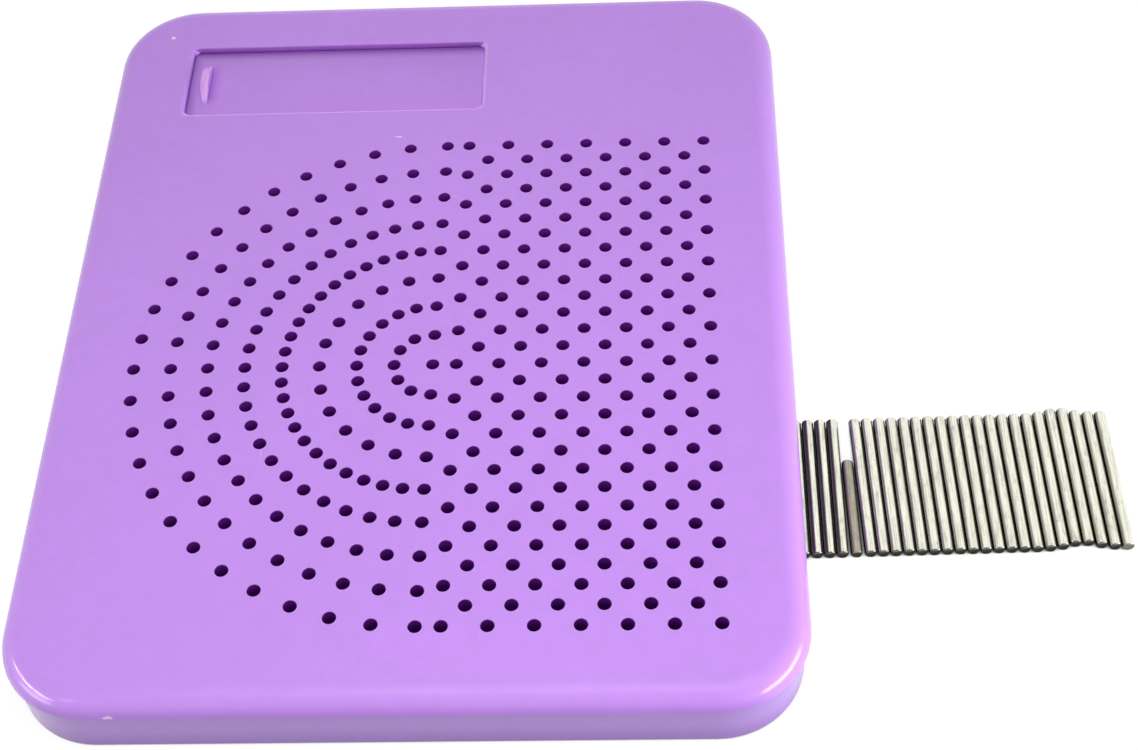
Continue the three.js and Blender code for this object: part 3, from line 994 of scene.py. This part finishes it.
for number in range(1, pins["count"] + 1):
    node = f"pin_{number:02d}"
    low, high = (Vector(corner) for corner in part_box(node))
    isShort = number == pins["short"]
    radius = pins["shortRadius"] if isShort else pins["radius"]
    length = pins["shortLength"] if isShort else pins["length"]
    turn = 0 if number < pins["short"] else pins["turn"] / (2 if isShort else 1)
    askew = pins["askew"] * math.sin(number * pins["askewStep"])
    pin = makePin("steelPin" + node[3:], radius, length, askew)
    pin.rotation_euler.z = math.radians(turn)
    pin.location = ((low.x + high.x) / 2, (low.y + high.y) / 2, radius * mm + 0.000001)
    applyPlace(pin)
    finish = pinSteel
    if isShort:
        finish = dullPinSteel
    elif number < pins["short"]:
        finish = wallPinSteel
    elif number == pins["count"]:
        finish = outerPinSteel
    finishPiece(pin, pin.name, finish, node,
                [node])
print("pins made")

screw = {
    "headRadius": 2.25,
    "headHeight": 1.4,
    "headRound": 0.5,
    "rootRadius": 0.78,
    "crestRadius": 1.08,
    "pitch": 0.8,
    "turns": 8,
    "neck": 0.3,
    "rootInHead": 0.2,
    "tip": 1.2,
    "tipScale": 0.2,
    "slotWidth": 0.6,
    "slotLength": 2.6,
    "slotDepth": 0.7,
}


# a screw pointing up, its head's underside at level 0
def makeScrew(name):
    head = rod(name, 0, 0, (-screw["headHeight"], 0), screw["headRadius"], 40)
    mesh = startEditing(head, "EDGE")
    under = -screw["headHeight"] * mm + 1e-6
    pick(head, mesh.edges, lambda e: all(v.co.z < under for v in e.verts))
    bpy.ops.mesh.bevel(offset=screw["headRound"] * mm, segments=4, affect="EDGES")
    stopEditing()
    across, along = [(-screw[key] / 2, screw[key] / 2) for key in ("slotWidth", "slotLength")]
    sunk = (-screw["headHeight"] - overcut, -screw["headHeight"] + screw["slotDepth"])
    for xRange, yRange in ((across, along), (along, across)):
        combine(head, block("slot", xRange, yRange, sunk), "DIFFERENCE")

    # the thread: the shank's end face is drawn out in steps, wider and narrower by turns
    shank = rod("shank", 0, 0, (-screw["rootInHead"], screw["neck"]), screw["rootRadius"], 24)
    mesh = startEditing(shank)
    pick(shank, mesh.faces, lambda f: f.normal.z > 0.9)
    grow = screw["crestRadius"] / screw["rootRadius"]
    for _ in range(screw["turns"]):
        for factor in (grow, 1 / grow):
            extrude(z=screw["pitch"] / 2)
            bpy.ops.transform.resize(value=(factor, factor, 1), center_override=(0, 0, 0))
    extrude(z=screw["tip"])
    shrink = screw["tipScale"]
    bpy.ops.transform.resize(value=(shrink, shrink, 1), center_override=(0, 0, 0))
    stopEditing()
    combine(head, shank, "UNION")
    shadeWell(head)
    return head


for number in range(1, 5):
    node = f"screw_{number}"
    low, high = (Vector(corner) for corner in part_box(node))
    piece = makeScrew(f"caseScrew{number}")
    middle = (low + high) / 2
    piece.location = (middle.x, middle.y, low.z + screw["headHeight"] * mm)
    applyPlace(piece)
    finishPiece(piece, piece.name, screwSteel, "board", [node])
print("screws made")

# the table and the background: white to the camera and in reflections, with the shadows kept
studio = {
    "floorSize": 6.0,
    "floorLevel": -0.00005,
    "floorColour": (0.81, 0.82, 0.81),
    "floorShade": 0.2,
    "floorGlow": 0.9,
    "farFrom": (0.16, 0.6),
    "gapReach": 0.003,
    "gapFrom": (0.05, 0.54),
    "gapLight": 0.04,
    "worldLight": 0.02,
    "worldColour": (0.97, 0.98, 1.0),
}


# one shader for the camera and for what is seen in metal and glass, another for the light
def seenAs(tree, seen, unseen):
    path = addNode(tree, "LightPath").outputs
    rays = math2(tree, "MAXIMUM", path["Is Camera Ray"], path["Is Glossy Ray"])
    rays = math2(tree, "MAXIMUM", rays, path["Is Transmission Ray"])
    return addNode(
        tree, "MixShader", i0=rays, i1=unseen.outputs[0], i2=seen.outputs[0]
    ).outputs[0]


def makeFloor():
    bpy.ops.mesh.primitive_plane_add(
        size=studio["floorSize"], location=(0, 0, studio["floorLevel"])
    )
    floor = bpy.context.object
    floor.name = "floor"
    material, tree, shader = newMaterial("floorWhite")
    tree.nodes.remove(shader)
    output = next(n for n in tree.nodes if n.type == "OUTPUT_MATERIAL")
    grey = addNode(tree, "BsdfDiffuse", Color=(*studio["floorColour"], 1))

    # the gaps between the pins are closed in, so the floor in them is dark wherever the pins lie
    closedIn = addNode(tree, "AmbientOcclusion", {"samples": 16}, Distance=studio["gapReach"])
    light = spread(tree, closedIn.outputs["AO"], *studio["gapFrom"], studio["gapLight"], 1.0)
    shade = [c * studio["floorShade"] for c in studio["floorColour"]]
    dim = addNode(tree, "BsdfDiffuse", Color=mixColour(tree, 1.0, (*shade, 1), light, "MULTIPLY"))
    away = addNode(tree, "VectorMath", {"operation": "LENGTH"}, i0=objectPlace(tree))
    glowing = spread(tree, away.outputs["Value"], *studio["farFrom"], studio["floorGlow"], 1.0)
    glow = addNode(tree, "Emission", Color=(1, 1, 1, 1), Strength=product(tree, light, glowing))
    shown = addNode(tree, "AddShader", i0=dim.outputs[0], i1=glow.outputs[0])
    tree.links.new(seenAs(tree, shown, grey), output.inputs[0])
    floor.data.materials.append(material)


def makeWorld():
    world = bpy.data.worlds.new("studio")
    bpy.context.scene.world = world
    world.use_nodes = True
    tree = world.node_tree
    tree.nodes.clear()
    room = addNode(
        tree, "Background", Color=(*studio["worldColour"], 1), Strength=studio["worldLight"]
    )
    white = addNode(tree, "Background", Color=(1, 1, 1, 1), Strength=1.0)
    output = tree.nodes.new("ShaderNodeOutputWorld")
    tree.links.new(seenAs(tree, white, room), output.inputs[0])


# area lamps: place and aim in metres, size in metres, power in watts. Those that light the piece
# aren't seen in reflections, where the white surround stands for the light tent. The others
# only show as highlights on the rounded corners
lamps = {
    "overhead": {"place": (0.0, 0.0, 0.8), "aim": (0.02, 0.0, 0.0),
                 "size": (0.7, 0.7), "power": 0.9},
    "frontTop": {"place": (0.02, -0.1, 0.29), "aim": (0.02, -0.06, 0.0),
                 "size": (0.2, 0.2), "power": 0.7},
    "rightKey": {"place": (0.28, -0.02, 0.06), "aim": (0.06, -0.04, 0.01),
                 "size": (0.15, 0.06), "power": 0.15},
    "cornerKey": {"place": (0.27, -0.15, 0.024), "aim": (0.06, -0.07, 0.01),
                  "size": (0.1, 0.04), "power": 0.42},
    "leftSide": {"place": (-0.3, -0.02, 0.05), "aim": (-0.06, -0.02, 0.01),
                 "size": (0.3, 0.06), "power": 0.135},
    "leftCorner": {"place": (-0.24, -0.2, 0.04), "aim": (-0.05, -0.07, 0.01),
                   "size": (0.08, 0.05), "power": 0.13},
    "backSide": {"place": (0.0, 0.34, 0.07), "aim": (0.0, 0.07, 0.01),
                 "size": (0.3, 0.06), "power": 0.42},
    "cornerGlint": {"place": (0.205, -0.125, 0.022), "aim": (0.06, -0.07, 0.01),
                    "size": (0.17, 0.042), "power": 0.27, "lights": False},
    "leftStrip": {"place": (-0.332, -0.156, 0.159), "aim": (-0.052, -0.07, 0.01),
                  "size": (0.27, 0.014), "power": 0.6, "lights": False},
    "leftLow": {"place": (-0.22, -0.16, 0.03), "aim": (-0.055, -0.07, 0.01),
                "size": (0.12, 0.05), "power": 0.1, "lights": False},
    "leftFront": {"place": (-0.174, -0.244, 0.224), "aim": (-0.047, -0.073, 0.012),
                  "size": (0.035, 0.035), "power": 0.035, "lights": False},
}


def makeLamp(name, place, aim, size, power, lights=True):
    bpy.ops.object.light_add(type="AREA", location=place)
    lamp = bpy.context.object
    lamp.name = name
    lamp.data.shape = "RECTANGLE"
    lamp.data.size, lamp.data.size_y = size
    lamp.data.energy = power
    lamp.rotation_euler = (Vector(aim) - Vector(place)).to_track_quat("-Z", "Y").to_euler()
    lamp.visible_camera = False
    lamp.visible_glossy = not lights
    lamp.visible_diffuse = lights


makeFloor()
makeWorld()
for name, lamp in lamps.items():
    makeLamp(name, **lamp)
print("studio made")

camera = {
    "place": (38.426 * mm, -210.493 * mm, 266.959 * mm),
    "turn": (37.4973, 2.6271, 0.7479),
    "lens": 62.88,
}

bpy.ops.object.camera_add(
    location=camera["place"], rotation=[math.radians(angle) for angle in camera["turn"]]
)
viewer = bpy.context.object
viewer.data.lens = camera["lens"]
viewer.data.sensor_width = 36
viewer.data.clip_start = 0.01
bpy.context.scene.camera = viewer

bpy.context.scene.view_settings.view_transform = "Standard"
